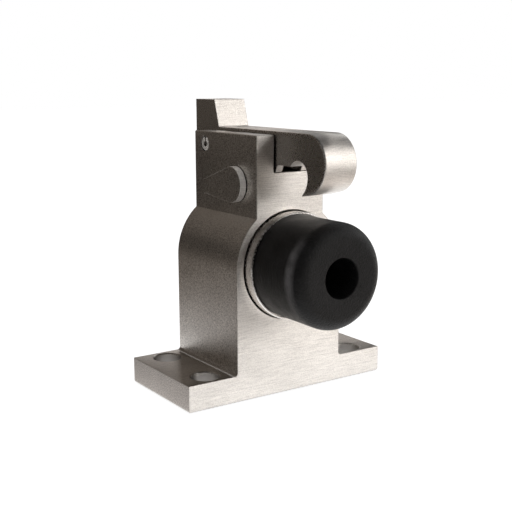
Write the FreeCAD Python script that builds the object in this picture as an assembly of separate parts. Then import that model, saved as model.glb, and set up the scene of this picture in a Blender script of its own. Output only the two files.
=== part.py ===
import FreeCAD
import Part
import math
import os
from FreeCAD import Vector

# Hooked door stop. A cast body on a four-hole flange carries a sprung rubber buffer, and above it
# a hook lever that drops over the keeper on the door. A teardrop lever on the side locks the hook.
# X runs across the stop, -Y faces the door and +Z is up, in millimetres.
# The origin is the middle of the flange's underside.

# Flange
flange_width = 90.0
flange_thickness = 10.3
foot_edge_radius = 1.0
fixing_hole_radius = 5.5
fixing_inset_x = 11.2
fixing_inset_y = 7.2
fixing_chamfer = 0.4

# Upright and buffer bore
body_depth = 43.4
upright_width = 48.0
upright_foot_fillet = 1.2
bore_height = 50.0
bore_radius = 20.9
bore_mouth_chamfer = 0.3
rear_wall = 6.0

# Head: two cheeks either side of the hook's slot
head_width = 30.4
head_rise = 49.0
slot_width = 15.4
slot_depth = 14.0
edge_break = 0.3

# Hook lever
hook_width = 14.2
hook_rise = 1.3
hook_rest_gap = 0.3
hook_reach = 29.6
claw_radius = 10.6
claw_wrap_angle = 14.0
claw_inner_radius = 8.2
mouth_radius = 5.65
mouth_setback = 5.0
mouth_drop = 4.8
arm_thickness = 12.2
step_run = 1.5
heel_lead = 0.2
hook_edge_radius = 0.6
channel_width = 8.8
channel_roof = 3.3
channel_end_wall = 2.5
channel_lead = 0.2
tail_overhang = 12.6
tail_height = 10.6
tail_top_length = 14.1
tail_lean = 3.2
tail_heel_drop = 0.7

# Hook pivot: a slotted spring pin through both cheeks
pin_radius = 3.0
pin_wall = 1.8
pin_slot = 0.9
pin_setback = 7.4
pin_drop = 4.9
pin_chamfer = 0.4
pin_recess = 0.15

# Hook return spring, wound round the pin inside the lever's channel
return_wire = 0.9
return_coils = 3
return_coil_gap = 0.25
return_leg_reach = 5.5
return_leg_drop = 1.3

# Lock: a teardrop lever on a spindle whose flat lets the hook's toe pass
spindle_radius = 3.5
spindle_setback = 13.3
spindle_drop = 4.7
spindle_flat = 1.5
spindle_end_chamfer = 0.5
handle_hub_radius = 6.7
handle_tip_radius = 2.7
handle_reach = 18.6
handle_droop = 2.2
handle_thickness = 2.6
handle_stand_off = 0.3
handle_edge_chamfer = 0.1
toe_width = 5.0
toe_back = 1.6
toe_foot = 1.7
clip_pocket_radius = 6.3
clip_pocket_depth = 3.0
clip_groove_depth = 0.8
clip_outer_radius = 5.2
clip_thickness = 0.7
clip_opening = 4.6
lock_washer_radius = 5.8
lock_washer_thickness = 0.8

# Buffer: a plunger cup with a rubber snapped over its spigot
cup_radius = 20.5
cup_skirt_wall = 2.5
cup_skirt_length = 18.0
cup_front_proud = 4.1
cup_front_chamfer = 0.3
cup_disc_back = 4.0
cup_lip_width = 0.7
cup_recess = 1.5
spigot_radius = 10.6
spigot_length = 7.4
spigot_lip = 1.4
spigot_lip_length = 2.0
spigot_lip_chamfer = 0.8
cup_boss_radius = 8.5
cup_boss_length = 14.0
rubber_radius = 19.6
rubber_taper = 0.15
rubber_length = 26.8
rubber_rim_round = 5.4
rubber_hole_radius = 7.35
rubber_hole_round = 0.5

# Guide bolt, its washer and the bush that runs on it
bolt_shoulder_radius = 4.0
bolt_head_radius = 6.5
bolt_head_height = 8.0
bolt_head_chamfer = 0.6
bolt_socket_flats = 5.0
bolt_socket_depth = 4.0
bolt_thread_radius = 3.0
bolt_end_gap = 0.5
bolt_washer_thickness = 1.0
bush_wall = 1.2
bush_flange_radius = 7.4
bush_flange_thickness = 1.0
main_wire_width = 3.0
main_wire_depth = 2.2
main_spring_radius = 13.0
main_spring_coils = 4

# Clearances
running_clearance = 0.05
press_clearance = 0.02
loose_clearance = 0.3
seat_clearance = 0.05
washer_clearance = 0.15

# How far a cut runs past the face it opens, and how near two places count as one
overrun = 1.0
near = 0.001

# Datums that follow from the sizes
front_y = -body_depth / 2
rear_y = body_depth / 2
bore_end_y = rear_y - rear_wall
head_top = bore_height + head_rise
slot_floor = head_top - slot_depth
pivot_y = rear_y - pin_setback
pivot_z = head_top - pin_drop
hook_top = head_top + hook_rise
heel_z = slot_floor + hook_rest_gap
arm_underside = hook_top - arm_thickness
claw_y = front_y - hook_reach + claw_radius
claw_z = hook_top - claw_radius
mouth_y = claw_y + mouth_setback
mouth_z = claw_z - mouth_drop
spindle_y = front_y + spindle_setback
spindle_z = slot_floor - spindle_drop
toe_rear_y = spindle_y - spindle_flat - loose_clearance
toe_notch_radius = spindle_radius + loose_clearance
toe_front_y = spindle_y - toe_notch_radius - toe_back
toe_bottom = spindle_z - toe_notch_radius - toe_foot
ring_inner_radius = cup_radius - cup_lip_width
cup_floor = cup_front_proud - cup_recess
rubber_face = cup_floor + rubber_length + cup_recess
bush_radius = bolt_shoulder_radius + running_clearance + bush_wall
return_coil_radius = pin_radius + running_clearance + loose_clearance + return_wire / 2
washer_seat_x = head_width / 2 - clip_pocket_depth
clip_seat_x = washer_seat_x + lock_washer_thickness + 2 * seat_clearance


def block(x_low, x_high, y_low, y_high, z_low, z_high):
    corner = Vector(x_low, y_low, z_low)
    return Part.makeBox(x_high - x_low, y_high - y_low, z_high - z_low, corner)


def rod_x(radius, x_low, x_high, y, z):
    return Part.makeCylinder(radius, x_high - x_low, Vector(x_low, y, z), Vector(1, 0, 0))


def rod_y(radius, y_low, y_high, x, z):
    return Part.makeCylinder(radius, y_high - y_low, Vector(x, y_low, z), Vector(0, 1, 0))


def line(start, end):
    return Part.makeLine(start, end)


def arc(start, middle, end):
    return Part.Arc(start, middle, end).toShape()


def around(centre_y, centre_z, radius, degrees, x=0.0):
    """A point on a circle in the YZ plane."""
    angle = math.radians(degrees)
    return Vector(x, centre_y + radius * math.cos(angle), centre_z + radius * math.sin(angle))


def bearing(centre_y, centre_z, point):
    return math.degrees(math.atan2(point.z - centre_z, point.y - centre_y))


def plate_x(edges, width):
    """Extrude a closed YZ outline along X, centred on its plane."""
    face = Part.Face(Part.Wire(edges))
    solid = face.extrude(Vector(width, 0, 0))
    solid.translate(Vector(-width / 2, 0, 0))
    return solid


def ahead(radius, distance):
    """A point of a turned profile: its radius, and its distance ahead of the body's front face."""
    return Vector(0, front_y - distance, bore_height + radius)


def turn(edges):
    """Revolve a closed profile about the buffer's axis."""
    face = Part.Face(Part.Wire(edges))
    return face.revolve(Vector(0, 0, bore_height), Vector(0, 1, 0), 360)


def outline(points):
    """Straight edges that close a list of points."""
    return [line(start, end) for start, end in zip(points, points[1:] + points[:1])]


def edges_where(shape, test):
    return [edge for edge in shape.Edges if test(edge)]


def along(edge, axis):
    """True for a straight edge parallel to an axis."""
    if len(edge.Vertexes) < 2:
        return False
    run = edge.Vertexes[1].Point - edge.Vertexes[0].Point
    return run.cross(axis).Length < near * run.Length


def make_body():
    flange = block(-flange_width / 2, flange_width / 2, front_y, rear_y, 0, flange_thickness)
    half = upright_width / 2
    arch = Part.Face(Part.Wire([
        line(Vector(-half, front_y, 0), Vector(half, front_y, 0)),
        line(Vector(half, front_y, 0), Vector(half, front_y, bore_height)),
        arc(
            Vector(half, front_y, bore_height),
            Vector(0, front_y, bore_height + half),
            Vector(-half, front_y, bore_height),
        ),
        line(Vector(-half, front_y, bore_height), Vector(-half, front_y, 0)),
    ])).extrude(Vector(0, body_depth, 0))
    head = block(-head_width / 2, head_width / 2, front_y, rear_y, bore_height, head_top)
    body = flange.fuse([arch, head]).removeSplitter()

    across = Vector(0, 1, 0)
    root = edges_where(body, lambda edge: along(edge, across)
                       and abs(abs(edge.CenterOfMass.x) - half) < near
                       and abs(edge.CenterOfMass.z - flange_thickness) < near)
    body = body.makeFillet(upright_foot_fillet, root)
    sole = edges_where(body, lambda edge: edge.BoundBox.ZMax < near)
    body = body.makeFillet(foot_edge_radius, sole)
    crown = edges_where(body, lambda edge: edge.BoundBox.ZMin > head_top - near)
    body = body.makeChamfer(edge_break, crown)

    slot = block(
        -slot_width / 2,
        slot_width / 2,
        front_y - overrun,
        rear_y + overrun,
        slot_floor,
        head_top + overrun,
    )
    bore = rod_y(bore_radius, front_y - overrun, bore_end_y, 0, bore_height)
    mouth = Part.makeCone(
        bore_radius + bore_mouth_chamfer,
        bore_radius,
        bore_mouth_chamfer,
        Vector(0, front_y, bore_height),
        Vector(0, 1, 0),
    )
    thread = rod_y(
        bolt_thread_radius + press_clearance,
        bore_end_y - overrun,
        rear_y + overrun,
        0,
        bore_height,
    )
    pin_hole = rod_x(pin_radius + press_clearance, -head_width, head_width, pivot_y, pivot_z)
    body = body.cut([slot, bore, mouth, thread, pin_hole, *fixing_holes(), *lock_cuts()])
    return body.removeSplitter()


def fixing_holes():
    cuts = []
    hole_x = flange_width / 2 - fixing_inset_x
    for x in (-hole_x, hole_x):
        for y in (front_y + fixing_inset_y, rear_y - fixing_inset_y):
            cuts.append(Part.makeCylinder(
                fixing_hole_radius,
                flange_thickness + 2 * overrun,
                Vector(x, y, -overrun),
            ))
            cuts.append(Part.makeCone(
                fixing_hole_radius,
                fixing_hole_radius + fixing_chamfer,
                fixing_chamfer,
                Vector(x, y, flange_thickness - fixing_chamfer),
            ))
    return cuts


def toe_sweep_front():
    """How far forward the toe's front corner reaches before it has left the slot's floor."""
    reach = math.hypot(pivot_y - toe_front_y, pivot_z - toe_bottom)
    return pivot_y - math.sqrt(reach ** 2 - (pivot_z - slot_floor) ** 2)


def lock_cuts():
    """The spindle's bore, the clip's pocket and the well that the hook's toe hangs in."""
    bore = rod_x(spindle_radius + running_clearance, -head_width, head_width, spindle_y, spindle_z)
    pocket = rod_x(
        clip_pocket_radius,
        head_width / 2 - clip_pocket_depth,
        head_width,
        spindle_y,
        spindle_z,
    )
    well_half = toe_width / 2 + 2 * loose_clearance
    well = block(
        -well_half,
        well_half,
        toe_sweep_front() - loose_clearance,
        toe_rear_y + loose_clearance,
        toe_bottom - loose_clearance,
        slot_floor + overrun,
    )
    return [bore, pocket, well]


def hook_outline():
    """The hook lever seen from the side: tail block, hub, heel, mouth and claw."""
    hub_radius = pivot_z - heel_z
    tail_heel = pivot_z - tail_heel_drop
    hub_rear = pivot_y + math.sqrt(hub_radius ** 2 - tail_heel_drop ** 2)
    tail_rear = rear_y + tail_overhang
    tail_top = hook_top + tail_height
    tail_front = tail_rear - tail_top_length

    mouth_start = mouth_y + math.sqrt(mouth_radius ** 2 - (arm_underside - mouth_z) ** 2)
    mouth_front = mouth_y - mouth_radius
    inner_y = mouth_front + claw_inner_radius
    wrap_end = around(claw_y, claw_z, claw_radius, -90 - claw_wrap_angle)
    wrap = math.radians(claw_wrap_angle)
    run = Vector(0, math.cos(wrap), -math.sin(wrap))
    offset = wrap_end - Vector(0, inner_y, mouth_z)
    nearest = -offset.dot(run)
    half_chord = math.sqrt(claw_inner_radius ** 2 - offset.Length ** 2 + nearest ** 2)
    tip = wrap_end + run * (nearest - half_chord)

    tail = [
        Vector(0, tail_front - tail_lean, hook_top),
        Vector(0, tail_front, tail_top),
        Vector(0, tail_rear, tail_top),
        Vector(0, tail_rear, tail_heel),
        Vector(0, hub_rear, tail_heel),
    ]
    under_pivot = Vector(0, pivot_y, heel_z)
    heel_front = front_y - heel_lead
    underside = [
        under_pivot,
        Vector(0, heel_front, heel_z),
        Vector(0, heel_front - step_run, arm_underside),
        Vector(0, mouth_start, arm_underside),
    ]
    hub_middle = around(pivot_y, pivot_z, hub_radius, (bearing(pivot_y, pivot_z, tail[-1]) - 90) / 2)
    tip_bearing = bearing(inner_y, mouth_z, tip) % 360
    edges = [line(start, end) for start, end in zip(tail, tail[1:])]
    edges.append(arc(tail[-1], hub_middle, under_pivot))
    edges += [line(start, end) for start, end in zip(underside, underside[1:])]
    edges.append(arc(
        underside[-1],
        Vector(0, mouth_y, mouth_z + mouth_radius),
        Vector(0, mouth_front, mouth_z),
    ))
    edges.append(arc(
        Vector(0, mouth_front, mouth_z),
        around(inner_y, mouth_z, claw_inner_radius, (180 + tip_bearing) / 2),
        tip,
    ))
    edges.append(line(tip, wrap_end))
    edges.append(arc(
        wrap_end,
        around(claw_y, claw_z, claw_radius, 180),
        Vector(0, claw_y, hook_top),
    ))
    edges.append(line(Vector(0, claw_y, hook_top), tail[0]))
    return edges


def make_hook_lever():
    lever = plate_x(hook_outline(), hook_width)
    side = hook_width / 2

    def outer_rim(edge):
        box = edge.BoundBox
        on_side = abs(abs(box.XMin) - side) < near and box.XLength < near
        on_top = box.ZMin > hook_top - near and box.ZMax < hook_top + near
        on_claw = box.YMin < claw_y - claw_radius + near
        return on_side and (on_top or on_claw)

    lever = lever.makeFillet(hook_edge_radius, edges_where(lever, outer_rim))

    relief_radius = return_coil_radius + return_wire / 2 + loose_clearance
    channel_half = channel_width / 2
    hub_rear = pivot_y + pivot_z - heel_z
    channel = block(
        -channel_half,
        channel_half,
        front_y - heel_lead - step_run + channel_lead,
        hub_rear - channel_end_wall,
        heel_z - overrun,
        hook_top - channel_roof,
    )
    relief = rod_x(relief_radius, -channel_half, channel_half, pivot_y, pivot_z)
    pin_hole = rod_x(pin_radius + running_clearance, -hook_width, hook_width, pivot_y, pivot_z)
    lever = lever.cut([channel, relief, pin_hole])

    toe = block(
        -toe_width / 2,
        toe_width / 2,
        toe_front_y,
        toe_rear_y,
        toe_bottom,
        hook_top - channel_roof / 2,
    )
    notch = rod_x(toe_notch_radius, -toe_width, toe_width, spindle_y, spindle_z)
    return lever.fuse(toe.cut(notch)).removeSplitter()


def make_pivot_pin():
    half = head_width / 2 - pin_recess
    pin = rod_x(pin_radius, -half, half, pivot_y, pivot_z)
    ends = edges_where(pin, lambda edge: edge.BoundBox.XLength < near)
    pin = pin.makeChamfer(pin_chamfer, ends)
    hollow = rod_x(pin_radius - pin_wall, -head_width, head_width, pivot_y, pivot_z)
    slot = block(
        -head_width,
        head_width,
        pivot_y - pin_slot / 2,
        pivot_y + pin_slot / 2,
        pivot_z,
        pivot_z + 2 * pin_radius,
    )
    return pin.cut([hollow, slot])


def wind(point_at, turns):
    """A coil's path as quarter-turn arcs through points that the function gives for each turn."""
    count = math.ceil(4 * turns)
    step = turns / count
    return [arc(point_at(index * step), point_at((index + 0.5) * step), point_at((index + 1) * step))
            for index in range(count)]


def draw_wire(edges, axis, across, deep):
    """Flat wire along a coil's path: so wide across the coil and so deep along its axis."""
    first = edges[0]
    start = first.valueAt(first.FirstParameter)
    outward = first.tangentAt(first.FirstParameter).cross(axis).normalize() * (across / 2)
    upward = axis * (deep / 2)
    section = Part.Wire(outline([
        start - outward - upward,
        start + outward - upward,
        start + outward + upward,
        start - outward + upward,
    ]))
    pipe = Part.BRepOffsetAPI.MakePipeShell(Part.Wire(edges))
    pipe.setBiNormalMode(axis)
    pipe.add(section)
    pipe.build()
    pipe.makeSolid()
    return pipe.shape()


def tangent_bearing(radius, point, side):
    """Where a line from the point touches a circle about the pivot, to one side or the other."""
    away = math.hypot(point.y - pivot_y, point.z - pivot_z)
    return bearing(pivot_y, pivot_z, point) + side * math.degrees(math.acos(radius / away))


def make_return_spring():
    """Both legs lie behind the pivot: one under the channel's roof, one on the slot's floor."""
    pitch = return_wire + return_coil_gap
    roof = hook_top - channel_roof
    leg_y = pivot_y + return_leg_reach
    upper = Vector(0, leg_y, roof - return_wire / 2 - return_leg_drop)
    lower = Vector(0, leg_y, slot_floor + return_wire / 2 + seat_clearance)
    start = tangent_bearing(return_coil_radius, upper, 1)
    end = tangent_bearing(return_coil_radius, lower, -1) % 360
    turns = return_coils + (end - start) / 360
    half_length = turns * pitch / 2

    def point_at(turn):
        x = turn * pitch - half_length
        return around(pivot_y, pivot_z, return_coil_radius, start + 360 * turn, x)

    lead = pitch / (2 * math.pi * return_coil_radius)
    first = point_at(0)
    last = point_at(turns)
    upper.x = first.x - lead * math.hypot(upper.y - first.y, upper.z - first.z)
    lower.x = last.x + lead * math.hypot(lower.y - last.y, lower.z - last.z)
    path = [line(upper, first), *wind(point_at, turns), line(last, lower)]
    return draw_wire(path, Vector(1, 0, 0), return_wire, return_wire)


def teardrop(tip_y, tip_z):
    """Outline of two circles joined by their outer tangents, about the spindle's axis."""
    taper = (handle_hub_radius - handle_tip_radius) / math.hypot(tip_y, tip_z)
    spread = math.degrees(math.acos(taper))
    heading = math.degrees(math.atan2(tip_z, tip_y))
    hub = [around(spindle_y, spindle_z, handle_hub_radius, heading + turn_by)
           for turn_by in (spread, 180, -spread)]
    tip = [around(spindle_y + tip_y, spindle_z + tip_z, handle_tip_radius, heading + turn_by)
           for turn_by in (-spread, 0, spread)]
    return [arc(*hub), line(hub[2], tip[0]), arc(*tip), line(tip[2], hub[0])]


def make_lock_lever():
    handle_x = -head_width / 2 - handle_stand_off - handle_thickness / 2
    handle = plate_x(teardrop(handle_reach, -handle_droop), handle_thickness)
    handle.translate(Vector(handle_x, 0, 0))
    rim = edges_where(handle, lambda edge: edge.BoundBox.XMax < handle_x)
    handle = handle.makeChamfer(handle_edge_chamfer, rim)

    spindle_end = head_width / 2 - spindle_end_chamfer
    spindle = rod_x(spindle_radius, handle_x, spindle_end, spindle_y, spindle_z)
    tail_rim = edges_where(spindle, lambda edge: edge.BoundBox.XMin > spindle_end - near)
    spindle = spindle.makeChamfer(spindle_end_chamfer, tail_rim)
    half = toe_width / 2 + 2 * loose_clearance
    flat = block(
        -half,
        half,
        spindle_y - 2 * spindle_radius,
        spindle_y - spindle_flat,
        spindle_z - spindle_radius,
        spindle_z + spindle_radius,
    )
    groove_low = clip_seat_x - seat_clearance
    groove_high = clip_seat_x + clip_thickness + seat_clearance
    groove = rod_x(spindle_radius + overrun, groove_low, groove_high, spindle_y, spindle_z)
    core = rod_x(
        spindle_radius - clip_groove_depth,
        groove_low - overrun,
        groove_high + overrun,
        spindle_y,
        spindle_z,
    )
    return handle.fuse(spindle.cut([flat, groove.cut(core)])).removeSplitter()


def make_lock_washer():
    face = washer_seat_x + lock_washer_thickness
    ring = rod_x(lock_washer_radius, washer_seat_x, face, spindle_y, spindle_z)
    hole_radius = spindle_radius + washer_clearance
    return ring.cut(rod_x(hole_radius, washer_seat_x - overrun, face + overrun, spindle_y, spindle_z))


def make_lock_clip():
    low = clip_seat_x - overrun
    high = clip_seat_x + clip_thickness + overrun
    hole_radius = spindle_radius - clip_groove_depth + running_clearance
    ring = rod_x(clip_outer_radius, clip_seat_x, clip_seat_x + clip_thickness, spindle_y, spindle_z)
    hole = rod_x(hole_radius, low, high, spindle_y, spindle_z)
    mouth = block(
        low,
        high,
        spindle_y - clip_opening / 2,
        spindle_y + clip_opening / 2,
        spindle_z - 2 * clip_outer_radius,
        spindle_z,
    )
    return ring.cut([hole, mouth])


def spigot_steps():
    """The snap spigot's outside, shared by the cup and the rubber that grips it."""
    front = cup_floor + spigot_length
    lip = spigot_radius + spigot_lip
    return [
        ahead(rubber_hole_radius, front),
        ahead(lip - spigot_lip_chamfer, front),
        ahead(lip, front - spigot_lip_chamfer),
        ahead(lip, front - spigot_lip_length),
        ahead(spigot_radius, front - spigot_lip_length),
        ahead(spigot_radius, cup_floor),
    ]


def make_buffer_cup():
    return turn(outline([
        ahead(bush_radius + press_clearance, -cup_boss_length),
        ahead(bush_radius + press_clearance, cup_floor),
        ahead(rubber_hole_radius, cup_floor),
        *spigot_steps(),
        ahead(ring_inner_radius, cup_floor),
        ahead(ring_inner_radius, cup_front_proud),
        ahead(cup_radius - cup_front_chamfer, cup_front_proud),
        ahead(cup_radius, cup_front_proud - cup_front_chamfer),
        ahead(cup_radius, -cup_skirt_length),
        ahead(cup_radius - cup_skirt_wall, -cup_skirt_length),
        ahead(cup_radius - cup_skirt_wall, -cup_disc_back),
        ahead(cup_boss_radius, -cup_disc_back),
        ahead(cup_boss_radius, -cup_boss_length),
    ]))


def make_rubber():
    """A wall that widens a little to a rounded rim, and a flat face with a hole."""
    rim_radius = rubber_radius - rubber_rim_round
    rim_ahead = rubber_face - rubber_rim_round
    wall_end = ahead(rubber_radius, rim_ahead)
    rim_end = ahead(rim_radius, rubber_face)
    diagonal = math.sqrt(0.5)
    rim_middle = ahead(
        rim_radius + rubber_rim_round * diagonal,
        rim_ahead + rubber_rim_round * diagonal,
    )
    hole_face = ahead(rubber_hole_radius + rubber_hole_round, rubber_face)
    hole_wall = ahead(rubber_hole_radius, rubber_face - rubber_hole_round)
    corner = rubber_hole_round * (1 - diagonal)
    hole_middle = ahead(rubber_hole_radius + corner, rubber_face - corner)
    spigot = spigot_steps()
    root = ahead(rubber_radius - rubber_taper, cup_floor)
    edges = [line(start, end) for start, end in zip(spigot, spigot[1:])]
    edges += [
        line(spigot[-1], root),
        line(root, wall_end),
        arc(wall_end, rim_middle, rim_end),
        line(rim_end, hole_face),
        arc(hole_face, hole_middle, hole_wall),
        line(hole_wall, spigot[0]),
    ]
    return turn(edges)


def make_bush():
    low = -cup_boss_length
    inner = bolt_shoulder_radius + running_clearance
    return turn(outline([
        ahead(inner, low - bush_flange_thickness),
        ahead(inner, cup_floor - seat_clearance),
        ahead(bush_radius, cup_floor - seat_clearance),
        ahead(bush_radius, low),
        ahead(bush_flange_radius, low),
        ahead(bush_flange_radius, low - bush_flange_thickness),
    ]))


def make_guide_bolt():
    head_back = cup_floor + seat_clearance + bolt_washer_thickness
    head_front = head_back + bolt_head_height
    wall = front_y - bore_end_y
    bolt = turn(outline([
        ahead(0, head_front),
        ahead(bolt_head_radius - bolt_head_chamfer, head_front),
        ahead(bolt_head_radius, head_front - bolt_head_chamfer),
        ahead(bolt_head_radius, head_back),
        ahead(bolt_shoulder_radius, head_back),
        ahead(bolt_shoulder_radius, wall),
        ahead(bolt_thread_radius, wall),
        ahead(bolt_thread_radius, wall - rear_wall + bolt_end_gap),
        ahead(0, wall - rear_wall + bolt_end_gap),
    ]))
    corner_radius = bolt_socket_flats / 2 / math.cos(math.radians(30))
    corners = []
    for step in range(6):
        angle = math.radians(60 * step)
        corners.append(Vector(
            corner_radius * math.cos(angle),
            front_y - head_front,
            bore_height + corner_radius * math.sin(angle),
        ))
    socket = Part.Face(Part.Wire(outline(corners))).extrude(Vector(0, bolt_socket_depth, 0))
    return bolt.cut(socket)


def make_bolt_washer():
    back = cup_floor + seat_clearance
    inner = bolt_shoulder_radius + washer_clearance
    return turn(outline([
        ahead(inner, back),
        ahead(inner, back + bolt_washer_thickness),
        ahead(bolt_head_radius, back + bolt_washer_thickness),
        ahead(bolt_head_radius, back),
    ]))


def make_main_spring():
    """Compression spring between the cup's disc and the end of the bore."""
    low = front_y + cup_disc_back + main_wire_depth / 2 + seat_clearance
    high = bore_end_y - main_wire_depth / 2 - seat_clearance

    def point_at(turn):
        angle = 2 * math.pi * turn
        return Vector(
            main_spring_radius * math.cos(angle),
            low + (high - low) * turn / main_spring_coils,
            bore_height + main_spring_radius * math.sin(angle),
        )

    path = wind(point_at, main_spring_coils)
    return draw_wire(path, Vector(0, 1, 0), main_wire_width, main_wire_depth)


pieces = {
    "body": make_body,
    "hook_lever": make_hook_lever,
    "pivot_spring_pin": make_pivot_pin,
    "hook_return_spring": make_return_spring,
    "lock_lever": make_lock_lever,
    "lock_washer": make_lock_washer,
    "lock_retaining_clip": make_lock_clip,
    "buffer_cup": make_buffer_cup,
    "rubber_buffer": make_rubber,
    "buffer_bush": make_bush,
    "buffer_spring": make_main_spring,
    "guide_bolt": make_guide_bolt,
    "bolt_washer": make_bolt_washer,
}

os.makedirs("parts", exist_ok=True)
for name, make in pieces.items():
    shape = make()
    shape.exportStep("parts/" + name + ".step")
    print(name, "valid" if shape.isValid() else "NOT VALID", "solids", len(shape.Solids),
          "volume", round(shape.Volume, 1), "facets", len(shape.tessellate(0.1)[1]))
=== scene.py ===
import math

import bmesh
import bpy
from mathutils import Matrix, Vector


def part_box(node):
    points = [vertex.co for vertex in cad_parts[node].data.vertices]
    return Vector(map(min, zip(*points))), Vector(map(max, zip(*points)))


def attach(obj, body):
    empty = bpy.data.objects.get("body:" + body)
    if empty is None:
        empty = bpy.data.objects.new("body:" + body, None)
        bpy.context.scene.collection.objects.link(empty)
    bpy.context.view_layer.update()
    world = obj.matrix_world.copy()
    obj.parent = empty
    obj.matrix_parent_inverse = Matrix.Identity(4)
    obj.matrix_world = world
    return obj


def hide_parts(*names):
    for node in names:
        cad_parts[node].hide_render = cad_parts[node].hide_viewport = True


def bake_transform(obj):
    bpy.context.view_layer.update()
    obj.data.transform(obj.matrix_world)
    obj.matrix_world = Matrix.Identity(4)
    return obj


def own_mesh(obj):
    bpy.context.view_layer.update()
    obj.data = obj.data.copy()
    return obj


# Hooked door stop: satin steel body and hook lever, turned steel cup, black rubber buffer.
# Metres, in the CAD's frame: X across, -Y towards the door, Z up.

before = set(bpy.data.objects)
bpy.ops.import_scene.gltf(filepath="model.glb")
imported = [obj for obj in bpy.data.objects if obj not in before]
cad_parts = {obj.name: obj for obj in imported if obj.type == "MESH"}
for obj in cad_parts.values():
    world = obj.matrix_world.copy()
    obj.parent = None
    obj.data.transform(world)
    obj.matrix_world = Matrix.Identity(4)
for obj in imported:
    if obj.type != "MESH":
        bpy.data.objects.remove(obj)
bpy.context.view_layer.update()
scene = bpy.context.scene
scene.view_settings.view_transform = "Standard"
mergeDistance = 1e-6
print("frame loaded:", len(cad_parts), "nodes")


class Signal:
    # one output socket, so that sums of sockets and numbers read as plain sums
    def __init__(self, shader, socket):
        self.shader = shader
        self.socket = socket

    def __add__(self, other):
        return self.shader.math("ADD", self, other)

    def __sub__(self, other):
        return self.shader.math("SUBTRACT", self, other)

    def __rsub__(self, other):
        return self.shader.math("SUBTRACT", other, self)

    def __mul__(self, other):
        return self.shader.math("MULTIPLY", self, other)

    __radd__ = __add__
    __rmul__ = __mul__

    def absolute(self):
        return self.shader.math("ABSOLUTE", self, 0.0)

    def clamp(self):
        return self.shader.add("ShaderNodeClamp", {"Value": self})

    def near(self, centre, reach):
        # 1 at the centre, falling to 0 where the value is reach away from it
        off = (self - centre) * (1 / reach)
        return (1 - off * off).clamp()


class Shader:
    # a node tree that is being filled
    def __init__(self, tree):
        self.tree = tree
        self.tree.nodes.clear()

    def addNode(self, kind, inputs, settings):
        node = self.tree.nodes.new(kind)
        for key, value in settings.items():
            if key == "stops":
                self.setStops(node.color_ramp, value)
            else:
                setattr(node, key, value)
        for key, value in (inputs or {}).items():
            if isinstance(value, Signal):
                self.tree.links.new(value.socket, node.inputs[key])
            else:
                node.inputs[key].default_value = value
        return node

    def add(self, kind, inputs=None, output=0, **settings):
        return Signal(self, self.addNode(kind, inputs, settings).outputs[output])

    def addSeveral(self, kind, inputs, outputs):
        node = self.addNode(kind, inputs, {})
        return [Signal(self, node.outputs[name]) for name in outputs]

    def finish(self, surface, kind="ShaderNodeOutputMaterial"):
        self.addNode(kind, {"Surface": surface}, {})

    def setStops(self, ramp, stops):
        while len(ramp.elements) < len(stops):
            ramp.elements.new(0.5)
        for element, (place, level) in zip(ramp.elements, stops):
            element.position = place
            element.color = (level, level, level, 1)

    def math(self, operation, first, second):
        return self.add("ShaderNodeMath", {0: first, 1: second}, operation=operation)

    def position(self):
        return self.add("ShaderNodeTexCoord", output="Object")

    def split(self, vector):
        return self.addSeveral("ShaderNodeSeparateXYZ", {0: vector}, "XYZ")

    def noise(self, size, stretch=(1, 1, 1), detail=2.0, roughness=0.5, seed=0.0):
        # size is one grain's length in metres, stretch lengthens it along an axis, seed moves it away
        place = self.add("ShaderNodeMapping", {
            "Vector": self.position(),
            "Scale": [1 / (size * times) for times in stretch],
            "Location": (seed, seed * 0.7, seed * 1.3),
        })
        return self.add("ShaderNodeTexNoise", {
            "Vector": place, "Scale": 1.0, "Detail": detail, "Roughness": roughness,
        })

    def spread(self, value, low=0.3, high=0.7):
        # stretches a range, here the middle of a noise, to 0..1
        return self.add("ShaderNodeMapRange", {"Value": value, "From Min": low, "From Max": high}, clamp=True)

    def mixColour(self, mask, first, second):
        # a plain colour comes without its alpha
        first, second = ((*colour, 1) if isinstance(colour, tuple) else colour for colour in (first, second))
        return self.add("ShaderNodeMix", {0: mask, 6: first, 7: second}, output=2, data_type="RGBA")

    def mixValue(self, mask, first, second):
        return self.add("ShaderNodeMix", {0: mask, 2: first, 3: second}, data_type="FLOAT")

    def roughness(self, look, texture):
        # swings about its mean with the texture
        return look["roughness"] + look["roughnessSpread"] * (texture - 0.5)

    def relief(self, look, height):
        # bump on softly rounded edges
        rounded = self.add("ShaderNodeBevel", {"Radius": look["edgeRadius"]}, samples=look["edgeSamples"])
        return self.add("ShaderNodeBump", {
            "Strength": look["relief"], "Distance": look["reliefDepth"], "Height": height, "Normal": rounded,
        })


def newMaterial(name):
    material = bpy.data.materials.new(name)
    material.use_nodes = True
    return material, Shader(material.node_tree)


def flangeShadeAndHighlight(shader, flange, clean):
    # the flange's colour with painted shade in its holes, and the share of metal that a painted highlight
    # line takes off
    across, along, up = shader.split(shader.position())
    across, along = across.absolute(), along.absolute()

    # painted shade: the inside of the drilled holes is given a darker colour
    fromX, fromY = across - flange["boreX"], along - flange["boreY"]
    inside = shader.spread(
        fromX * fromX + fromY * fromY, flange["boreEdge"] ** 2, flange["boreRadius"] ** 2,
    )
    below = shader.spread(up, flange["boreTop"], flange["boreTop"] - flange["boreFade"])
    colour = shader.mixColour(inside * below, clean, flange["boreColour"])

    # painted highlight: a thin line made less metallic, so that it reads pale, where the fillet of the
    # upright meets the flange
    line = across.near(flange["lineX"], flange["lineWidth"]) * shader.spread(up, *flange["lineHeights"])
    return colour, line * flange["lineMatt"]


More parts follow.
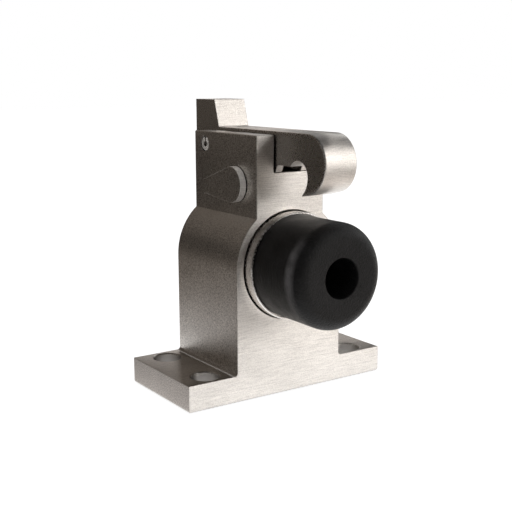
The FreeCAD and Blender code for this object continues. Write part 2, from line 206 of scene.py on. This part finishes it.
def steelMaterial(name, look):
    # faces towards -Y, Y and Z are brushed and faces towards X are blasted; grain and brush lines
    # move tone, gloss and relief together
    material, shader = newMaterial(name)
    normal = shader.add("ShaderNodeNewGeometry", output="Normal")
    facing = shader.add("ShaderNodeSeparateXYZ", {0: normal}, output="X")
    sideways = shader.spread(facing * facing, *look["sideFacing"])
    textures = []
    for face in ("front", "side"):
        grain = shader.spread(shader.noise(look[face + "Grain"], roughness=0.6), *look["grainRange"])
        lines = shader.spread(shader.noise(
            look["lineSize"], stretch=look[face + "Lines"], detail=3.0, roughness=0.6, seed=3.1,
        ))
        share = look[face + "Share"]
        textures.append(share * grain + (1 - share) * lines)
    texture = shader.mixValue(sideways, *textures)
    cloud = shader.spread(shader.noise(look["cloudSize"], detail=4.0, seed=7.7), *look["cloudRange"])
    tone = texture * (1 - look["cloudShare"]) + cloud * look["cloudShare"]

    # the blasted sides have more contrast than the brushed fronts
    dark = shader.mixColour(sideways, look["frontDark"], look["sideDark"])
    light = shader.mixColour(sideways, look["frontLight"], look["sideLight"])
    clean = shader.mixColour(tone, dark, light)
    matt = 0
    if "flange" in look:
        clean, matt = flangeShadeAndHighlight(shader, look["flange"], clean)
    # painted shade: darker colour in corners, creases and where parts meet, from ambient occlusion
    openness = shader.add(
        "ShaderNodeAmbientOcclusion", {"Distance": look["paintedShadeReach"]}, output="AO", samples=8,
    )
    colour = shader.mixColour(shader.spread(openness, *look["paintedShadeRange"]), look["paintedShade"], clean)
    roughness = shader.roughness(look, texture)
    relief = shader.relief(look, texture)

    # brush lines along X spread the front's gloss up and down
    front, side = (
        shader.add("ShaderNodeBsdfPrincipled", {
            "Base Color": colour,
            "Metallic": look[face + "Metal"] - matt,
            "Roughness": roughness - look[face + "Gloss"],
            "Normal": relief,
            "Anisotropic": look[face + "Brushed"],
            "Anisotropic Rotation": look["brushTurn"],
        })
        for face in ("front", "side")
    )
    shader.finish(shader.add("ShaderNodeMixShader", {0: sideways, 1: front, 2: side}))
    return material


def turnedMaterial(name, look):
    # lathe-turned metal: fine rings about the buffer's axis
    material, shader = newMaterial(name)
    place = shader.add("ShaderNodeMapping", {
        "Vector": shader.position(), "Location": (0, 0, -look["axisHeight"]),
    })
    flat = shader.add("ShaderNodeVectorMath", {0: place, 1: (1, 0, 1)}, operation="MULTIPLY")
    radius = shader.add("ShaderNodeVectorMath", {0: flat}, output="Value", operation="LENGTH")
    depth = shader.add("ShaderNodeSeparateXYZ", {0: place}, output="Y")
    rings = shader.spread(shader.add("ShaderNodeTexNoise", {
        "W": (radius + depth) * (1 / look["ringPitch"]), "Scale": 1.0, "Detail": 2.0,
    }, noise_dimensions="1D"))
    grain = shader.spread(shader.noise(look["grainSize"], detail=3.0))
    texture = rings * look["ringShare"] + grain * (1 - look["ringShare"])
    shader.finish(shader.add("ShaderNodeBsdfPrincipled", {
        "Base Color": shader.mixColour(texture, look["dark"], look["light"]),
        "Metallic": 1.0,
        "Roughness": shader.roughness(look, texture),
        "Normal": shader.relief(look, texture),
    }))
    return material


def paintedGlintBand(shader, paintedGlint, clean, bloom):
    # painted glint: a paler band where the outer wall starts to round, strongest at mid-height and patchy
    # with the bloom
    across, depth, up = shader.split(shader.position())
    up = up - paintedGlint["axisHeight"]
    outside = shader.spread(across * across + up * up, paintedGlint["inside"] ** 2, paintedGlint["outside"] ** 2)
    band = depth.near(paintedGlint["depth"], paintedGlint["reach"]) * up.near(paintedGlint["height"], paintedGlint["tall"]) * outside
    glintShare = band * (paintedGlint["least"] + (1 - paintedGlint["least"]) * bloom)
    return shader.mixColour(glintShare, clean, paintedGlint["colour"])


def rubberMaterial(name, look):
    # rubber or plastic: fine pebble, soft waves and a paler bloom in patches
    material, shader = newMaterial(name)
    pebble = shader.spread(shader.noise(look["pebbleSize"], detail=3.0, roughness=0.65))
    wave = shader.noise(look["waveSize"], seed=5.3)
    bloom = shader.spread(shader.noise(look["bloomSize"], detail=4.0, seed=11.0), *look["bloomRange"])
    tone = pebble * look["pebbleShare"] + bloom * (1 - look["pebbleShare"])
    colour = shader.mixColour(tone, look["dark"], look["light"])
    # painted glint on the rubber's rounding, where the look has one
    if "paintedGlint" in look:
        colour = paintedGlintBand(shader, look["paintedGlint"], colour, bloom)
    relief = shader.add("ShaderNodeBump", {
        "Strength": look["relief"], "Distance": look["reliefDepth"],
        "Height": pebble + wave * look["waveShare"],
    })
    shader.finish(shader.add("ShaderNodeBsdfPrincipled", {
        "Base Color": colour,
        "Roughness": shader.roughness(look, bloom),
        "Normal": relief,
        "Specular IOR Level": look["specular"],
    }))
    return material


def placeMesh(mesh, name, material):
    # the finished mesh as an object at the origin
    data = bpy.data.meshes.new(name)
    mesh.to_mesh(data)
    mesh.free()
    data.materials.append(material)
    obj = bpy.data.objects.new(name, data)
    scene.collection.objects.link(obj)
    return obj


def makePiece(mesh, name, material, cornerAngle=35):
    # smooth skin with sharp corners
    for skin in mesh.faces:
        skin.smooth = True
    for edge in mesh.edges:
        if edge.is_manifold and edge.calc_face_angle(0) > math.radians(cornerAngle):
            edge.smooth = False
    return placeMesh(mesh, name, material)


def dress(material, *nodes):
    for name in nodes:
        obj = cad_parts[name]
        obj.data.materials.clear()
        obj.data.materials.append(material)


bodyLook = {
    "frontDark": (0.52, 0.49, 0.46),
    "sideDark": (0.29, 0.275, 0.26),
    "frontLight": (0.99, 0.95, 0.90),
    "sideLight": (0.99, 0.95, 0.90),
    "sideFacing": (0.3, 0.7),       # squares of the normal's X between which front turns to side
    "frontGrain": 0.0004,
    "sideGrain": 0.00045,
    "grainRange": (0.43, 0.57),
    "frontShare": 0.35,             # of grain; the rest is brush lines
    "sideShare": 0.6,
    "lineSize": 0.00026,
    "frontLines": (24, 1, 1),       # how many times longer a line is along each axis
    "sideLines": (1, 4, 1),
    "cloudSize": 0.018,
    "cloudRange": (0.25, 0.75),
    "cloudShare": 0.2,
    "roughness": 0.37,
    "roughnessSpread": 0.10,
    "frontMetal": 1.0,
    "sideMetal": 1.0,
    "frontGloss": 0.0,              # taken off the roughness
    "sideGloss": 0.03,
    "frontBrushed": 0.9,
    "sideBrushed": 0.0,
    "brushTurn": 0.25,
    "edgeRadius": 0.0004,
    "edgeSamples": 6,
    "relief": 0.40,
    "reliefDepth": 0.00008,
    # painted shade in corners and where parts meet
    "paintedShade": (0.05, 0.045, 0.04),
    "paintedShadeReach": 0.0006,
    "paintedShadeRange": (0.45, 0.80),
}
flangeLook = {
    "boreX": 0.0338,
    "boreY": 0.0145,
    "boreRadius": 0.00555,
    "boreEdge": 0.0058,
    "boreTop": 0.0100,
    "boreFade": 0.0012,
    "boreColour": (0.60, 0.58, 0.56),
    "lineX": 0.0254,
    "lineWidth": 0.00030,
    "lineHeights": (0.0101, 0.0102),
    "lineMatt": 0.6,
}
hookLook = {
    **bodyLook,
    # painted shade: the hook's sides are given darker colours than the body's, for the shade they sit in
    "sideDark": (0.34, 0.32, 0.30),
    "sideLight": (0.60, 0.57, 0.54),
    "frontLines": (12, 1, 1),
    "sideLines": (1, 1, 5),
    "roughness": 0.35,
    "sideGloss": 0.08,
}
lockLook = {
    **bodyLook,
    "roughness": 0.52,
    "frontMetal": 0.65,
    "sideGloss": 0.17,
    "frontBrushed": 0.0,
    "edgeRadius": 0.00008,
}
dress(steelMaterial("bodySteel", {**bodyLook, "flange": flangeLook}), "body")
dress(steelMaterial("hookSteel", hookLook), "hook_lever")
dress(steelMaterial("lockSteel", lockLook), "lock_lever")

cupLook = {
    "dark": (0.82, 0.79, 0.76),
    "light": (0.96, 0.93, 0.90),
    "axisHeight": 0.05,
    "ringPitch": 0.00022,
    "ringShare": 0.6,
    "grainSize": 0.0008,
    "roughness": 0.27,
    "roughnessSpread": 0.08,
    "edgeRadius": 0.00015,
    "edgeSamples": 4,
    "relief": 0.12,
    "reliefDepth": 0.00003,
}
boltLook = {**cupLook, "dark": (0.40, 0.39, 0.38), "light": (0.52, 0.51, 0.49), "roughness": 0.30}
bushLook = {**cupLook, "dark": (0.50, 0.31, 0.14), "light": (0.66, 0.44, 0.22), "roughness": 0.32}
dress(turnedMaterial("cupSteel", cupLook), "buffer_cup")
dress(turnedMaterial("boltSteel", boltLook), "guide_bolt")
dress(turnedMaterial("bushBronze", bushLook), "buffer_bush")


def smallPartLook(dark, light, changes):
    # the same all round, nearly all grain and not brushed
    return {
        **bodyLook, "frontDark": dark, "sideDark": dark, "frontLight": light, "sideLight": light,
        "frontShare": 0.9, "sideShare": 0.9, "frontBrushed": 0.0, "sideGloss": 0.0, **changes,
    }


pinLook = smallPartLook((0.45, 0.43, 0.41), (0.99, 0.95, 0.90), {
    "sideGrain": 0.0009,
    "sideMetal": 0.72,
    "roughness": 0.70,
    "relief": 0.8,
    "edgeRadius": 0.00015,
    "paintedShadeReach": 0.00005,
})
springLook = smallPartLook((0.30, 0.29, 0.28), (0.46, 0.45, 0.43), {
    "roughness": 0.28,
    "relief": 0.1,
    "edgeRadius": 0.0001,
})
clipLook = smallPartLook((0.12, 0.12, 0.12), (0.22, 0.22, 0.22), {
    "roughness": 0.4,
    "relief": 0.1,
    "edgeRadius": 0.0001,
})
nylonLook = {
    "dark": (0.50, 0.47, 0.40),
    "light": (0.62, 0.59, 0.52),
    "pebbleSize": 0.0004,
    "pebbleShare": 0.55,
    "waveSize": 0.006,
    "waveShare": 0.3,
    "bloomSize": 0.004,
    "bloomRange": (0.35, 0.7),
    "roughness": 0.5,
    "roughnessSpread": 0.1,
    "relief": 0.1,
    "reliefDepth": 0.00003,
    "specular": 0.5,
}
dress(steelMaterial("pinSteel", pinLook), "pivot_spring_pin", "lock_washer")
dress(steelMaterial("clipSteel", clipLook), "lock_retaining_clip")
dress(rubberMaterial("washerNylon", nylonLook), "bolt_washer")
print("steel dressed")


springPieces = {
    # the buffer's spring, with the buffer's joint and travel
    "bufferSpring": {"node": "buffer_spring", "joint": "buffer_slide", "travel": 0.008},
    # the hook's torsion spring, with the width of its leg
    "returnSpring": {"node": "hook_return_spring", "legWidth": 0.0012},
}


def makeSpring(name, piece, material):
    # a merged copy of the CAD mesh, taking the place of the hidden node
    mesh = bmesh.new()
    mesh.from_mesh(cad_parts[piece["node"]].data)
    bmesh.ops.remove_doubles(mesh, verts=mesh.verts[:], dist=mergeDistance)
    spring = makePiece(mesh, name, material)
    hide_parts(piece["node"])
    return spring


springSteel = steelMaterial("springSteel", springLook)

piece = springPieces["bufferSpring"]
bufferSpring = makeSpring("bufferSpring", piece, springSteel)
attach(bufferSpring, "housing")
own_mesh(bufferSpring)

piece = springPieces["returnSpring"]
returnSpring = makeSpring("returnSpring", piece, springSteel)
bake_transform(returnSpring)
print("springs made:", len(bufferSpring.data.polygons), "and", len(returnSpring.data.polygons), "faces")


rubberPiece = {
    "segments": 128,
    "wallRadius": 0.0196,
    "taper": 0.00015,
    "rimRound": 0.0054,
    "rimSteps": 20,
    "holeRadius": 0.00735,
    "holeRound": 0.0005,
    "holeSteps": 5,
    "seatRadius": 0.0106,           # where it grips the cup's spigot
    "lipRadius": 0.0120,
    "lipLength": 0.0020,
    "spigotLength": 0.0074,
    "lipChamfer": 0.0008,
}
rubberLook = {
    "dark": (0.0004, 0.0004, 0.0004),
    "light": (0.0090, 0.0086, 0.0088),
    "pebbleSize": 0.0006,
    "pebbleShare": 0.55,
    "waveSize": 0.011,
    "waveShare": 1.5,
    "bloomSize": 0.006,
    "bloomRange": (0.35, 0.7),
    "roughness": 0.41,
    "roughnessSpread": 0.12,
    "relief": 1.0,
    "reliefDepth": 0.00013,
    "specular": 0.22,
    # painted glint: a paler band on the rounding, standing in for the highlight there
    "paintedGlint": {
        "axisHeight": 0.05,
        "inside": 0.0150,
        "outside": 0.0175,
        "height": 0.0015,           # above the buffer's axis
        "tall": 0.0150,
        "depth": -0.0470,
        "reach": 0.0027,
        "least": 0.35,              # left of it where there is no bloom
        "colour": (0.080, 0.076, 0.077),
    },
}


def makeRubber(piece, material):
    low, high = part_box("rubber_buffer")
    seat, face = high.y, low.y
    axisHeight = (low.z + high.z) / 2
    rimCentre = piece["wallRadius"] - piece["rimRound"]
    rimStart = face + piece["rimRound"]
    holeCentre = piece["holeRadius"] + piece["holeRound"]
    front = seat - piece["spigotLength"]

    mesh = bmesh.new()

    def point(radius, y):
        return mesh.verts.new((0, y, axisHeight + radius))

    def turn(start, centreRadius, centreY, steps):
        # takes the profile's last point a quarter turn on, about a centre in the profile's plane
        out = bmesh.ops.spin(
            mesh, geom=[start], cent=(0, centreY, axisHeight + centreRadius), axis=(1, 0, 0),
            angle=math.pi / 2, steps=steps, use_merge=False, use_duplicate=False,
        )
        return [item for item in out["geom_last"] if isinstance(item, bmesh.types.BMVert)][0]

    # outside: foot, wall, rim, face and hole
    foot = point(piece["wallRadius"] - piece["taper"], seat)
    wallEnd = point(piece["wallRadius"], rimStart)
    mesh.edges.new((foot, wallEnd))
    rimEnd = turn(wallEnd, rimCentre, rimStart, piece["rimSteps"])
    holeFace = point(holeCentre, face)
    mesh.edges.new((rimEnd, holeFace))
    holeWall = turn(holeFace, holeCentre, face + piece["holeRound"], piece["holeSteps"])

    # inside: the seat moulded to the cup's spigot
    inner = [holeWall]
    for radius, y in (
        (piece["holeRadius"], front),
        (piece["lipRadius"] - piece["lipChamfer"], front),
        (piece["lipRadius"], front + piece["lipChamfer"]),
        (piece["lipRadius"], front + piece["lipLength"]),
        (piece["seatRadius"], front + piece["lipLength"]),
        (piece["seatRadius"], seat),
    ):
        inner.append(point(radius, y))
    inner.append(foot)
    for start, end in zip(inner, inner[1:]):
        mesh.edges.new((start, end))

    bmesh.ops.remove_doubles(mesh, verts=mesh.verts[:], dist=mergeDistance)
    bmesh.ops.spin(
        mesh, geom=mesh.verts[:] + mesh.edges[:], cent=(0, 0, axisHeight), axis=(0, 1, 0),
        angle=2 * math.pi, steps=piece["segments"], use_merge=True, use_duplicate=False,
    )
    bmesh.ops.remove_doubles(mesh, verts=mesh.verts[:], dist=mergeDistance)
    bmesh.ops.recalc_face_normals(mesh, faces=mesh.faces[:])
    return makePiece(mesh, "rubberBuffer", material)


rubber = makeRubber(rubberPiece, rubberMaterial("blackRubber", rubberLook))
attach(rubber, "buffer")
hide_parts("rubber_buffer")
print("rubber made:", len(rubber.data.polygons), "faces")


floorStage = {
    "size": 6.0,
    "drop": 0.0002,
    "seenColour": 0.30,             # what the camera sees of its own light and shadow
    "seenGlow": 0.86,
    "colour": 0.70,
}
flags = {
    # boards that only mirrored rays see; a stop is (share of the board's height or reach, level)
    "left": {
        "centre": (-0.12, 0.09, 0.20), "size": (0.50, 0.40), "tilt": 90, "turn": 34,
        "tint": (1.0, 0.86, 0.74),
        "stops": (
            (0.0, 0.25), (0.09, 0.10), (0.14, 0.035), (0.19, 0.015), (0.21, 0.03),
            (0.235, 0.15), (0.26, 0.09), (0.4, 0.135), (1.0, 0.165),
        ),
    },
    "leftTable": {
        "centre": (-0.1553, 0.05, 0.0004), "size": (0.34, 0.22), "tilt": 0, "turn": 90,
        "tint": (1.0, 0.95, 0.93),
        "stops": ((0.0, 0.62), (0.08, 0.46), (0.3, 0.02), (1.0, 0.02)),
    },
    "backLeft": {
        "centre": (0.10, 0.66, 0.25), "size": (0.70, 0.50), "tilt": 90, "turn": -12,
        "tint": (1.0, 0.94, 0.90),
        "stops": ((0.1, 0.014), (0.27, 0.023), (0.33, 0.60), (0.42, 1.15), (0.6, 1.048), (1.0, 0.847)),
    },
    "backRight": {
        "centre": (0.62, 0.50, 0.25), "size": (0.60, 0.50), "tilt": 90, "turn": -40,
        "tint": (1.0, 0.94, 0.88),
        "stops": ((0.1, 0.083), (0.27, 0.08), (0.33, 0.482), (0.42, 0.02), (0.6, 0.003), (1.0, 0.0)),
    },
    "front": {
        "centre": (-0.50, -0.62, 0.40), "size": (1.30, 0.90), "tilt": 90, "turn": -36,
        "tint": (1.0, 0.82, 0.68),
        "stops": ((0.0, 0.02), (0.5, 0.01), (0.75, 0.01), (1.0, 0.05)),
    },
    "frontMid": {
        "centre": (0.14, -0.98, 0.35), "size": (0.44, 0.70), "tilt": 90, "turn": 8,
        "tint": (1.0, 0.86, 0.74),
        "stops": ((0.0, 0.10), (0.4, 0.06), (0.75, 0.04), (1.0, 0.04)),
    },
    "frontRight": {
        "centre": (0.60, -0.76, 0.45), "size": (0.70, 0.90), "tilt": 90, "turn": 38,
        "tint": (1.0, 0.975, 0.95),
        "stops": (
            (0.0, 0.0), (0.1, 1.8), (0.2, 2.9), (0.3, 3.5), (0.45, 0.8), (0.65, 3.9),
            (0.85, 0.2), (1.0, 0.1),
        ),
    },
    "frontTable": {
        "centre": (0.34, -0.53, 0.001), "size": (0.90, 1.10), "tilt": 0, "turn": 214,
        "tint": (1.0, 0.92, 0.86),
        "stops": ((0.0, 1.3), (0.1, 0.22), (0.25, 0.09), (0.5, 0.45), (1.0, 0.40)),
    },
    "frontLeftTable": {
        "centre": (-0.36, -0.36, 0.001), "size": (0.60, 0.50), "tilt": 0, "turn": -36,
        "tint": (1.0, 0.88, 0.78),
        "stops": ((0.0, 0.02), (1.0, 0.02)),
    },
    "ceiling": {
        "centre": (0.10, -0.10, 0.90), "size": (1.60, 1.60), "tilt": 0, "turn": -130,
        "tint": (1.0, 0.96, 0.92),
        "stops": ((0.0, 0.02), (0.5, 0.02), (0.75, 0.02), (0.88, 0.05), (1.0, 0.1)),
    },
}
lamps = {
    "key": {"centre": (0.66, -0.66, 0.36), "aim": (0, -0.02, 0.06), "size": (0.75, 0.62), "power": 2.2},
    "top": {"centre": (-0.10, -0.15, 0.80), "aim": (0, 0, 0.05), "size": (0.5, 0.4), "power": 1.6},
}
worldLook = {"seen": 1.0, "ambient": 0.80}


def makeBoard(name, size, material):
    mesh = bmesh.new()
    bmesh.ops.create_grid(mesh, x_segments=1, y_segments=1, size=0.5)
    bmesh.ops.scale(mesh, vec=(*size, 1), verts=mesh.verts[:])
    obj = placeMesh(mesh, name, material)
    return obj


def seenRays(shader):
    # 1 for rays from the camera and for those mirrored or let through by a surface
    camera, mirrored, through = shader.addSeveral(
        "ShaderNodeLightPath", {}, ("Is Camera Ray", "Is Glossy Ray", "Is Transmission Ray"),
    )
    return (camera + mirrored + through).clamp()


def makeFloor(stage):
    material, shader = newMaterial("paleFloor")
    seen = seenRays(shader)
    grey = shader.mixColour(seen, (stage["colour"],) * 3, (stage["seenColour"],) * 3)
    lit = shader.add("ShaderNodeBsdfDiffuse", {"Color": grey})
    glow = shader.add("ShaderNodeEmission", {"Strength": seen * stage["seenGlow"]})
    shader.finish(shader.add("ShaderNodeAddShader", {0: lit, 1: glow}))
    floor = makeBoard("floor", (stage["size"],) * 2, material)
    floor.location.z = -stage["drop"]


def makeFlag(name, flag):
    material, shader = newMaterial(name)
    height = shader.add("ShaderNodeSeparateXYZ", {0: shader.position()}, output="Y")
    share = height * (1 / flag["size"][1]) + 0.5
    level = shader.add("ShaderNodeValToRGB", {"Fac": share}, stops=flag["stops"])
    shader.finish(shader.add("ShaderNodeEmission", {"Color": (*flag["tint"], 1), "Strength": level}))
    board = makeBoard(name, flag["size"], material)
    board.rotation_euler = (math.radians(flag["tilt"]), 0, math.radians(flag["turn"]))
    board.location = flag["centre"]
    board.visible_camera = False
    board.visible_diffuse = False
    board.visible_shadow = False
    board.visible_transmission = False


def makeLamp(name, lamp):
    light = bpy.data.lights.new(name, "AREA")
    light.shape = "RECTANGLE"
    light.size, light.size_y = lamp["size"]
    light.energy = lamp["power"]
    obj = bpy.data.objects.new(name, light)
    scene.collection.objects.link(obj)
    obj.location = lamp["centre"]
    aim = Vector(lamp["aim"]) - obj.location
    obj.rotation_euler = aim.to_track_quat("-Z", "Y").to_euler()
    obj.visible_camera = False
    obj.visible_glossy = False


def makeWorld(look):
    world = bpy.data.worlds.new("studio")
    scene.world = world
    world.use_nodes = True
    shader = Shader(world.node_tree)
    strength = look["ambient"] + seenRays(shader) * (look["seen"] - look["ambient"])
    sky = shader.add("ShaderNodeBackground", {"Color": (1, 1, 1, 1), "Strength": strength})
    shader.finish(sky, "ShaderNodeOutputWorld")


makeFloor(floorStage)
for name, flag in flags.items():
    makeFlag(name + "Flag", flag)
for name, lamp in lamps.items():
    makeLamp(name, lamp)
makeWorld(worldLook)
print("stage set")


cameraPlace = {
    "at": (-0.20380, -0.29928, 0.12001),
    "turn": -34.131,
    "tilt": 79.032,
    "roll": -0.177,
    "lens": 65.305,
    "sensor": 36,
    "nearest": 0.01,
}


def makeCamera(place):
    camera = bpy.data.cameras.new("camera")
    camera.lens = place["lens"]
    camera.sensor_width = place["sensor"]
    camera.clip_start = place["nearest"]
    obj = bpy.data.objects.new("camera", camera)
    obj.matrix_world = (
        Matrix.Translation(place["at"])
        @ Matrix.Rotation(math.radians(place["turn"]), 4, "Z")
        @ Matrix.Rotation(math.radians(place["tilt"]), 4, "X")
        @ Matrix.Rotation(math.radians(place["roll"]), 4, "Z")
    )
    scene.collection.objects.link(obj)
    scene.camera = obj


makeCamera(cameraPlace)
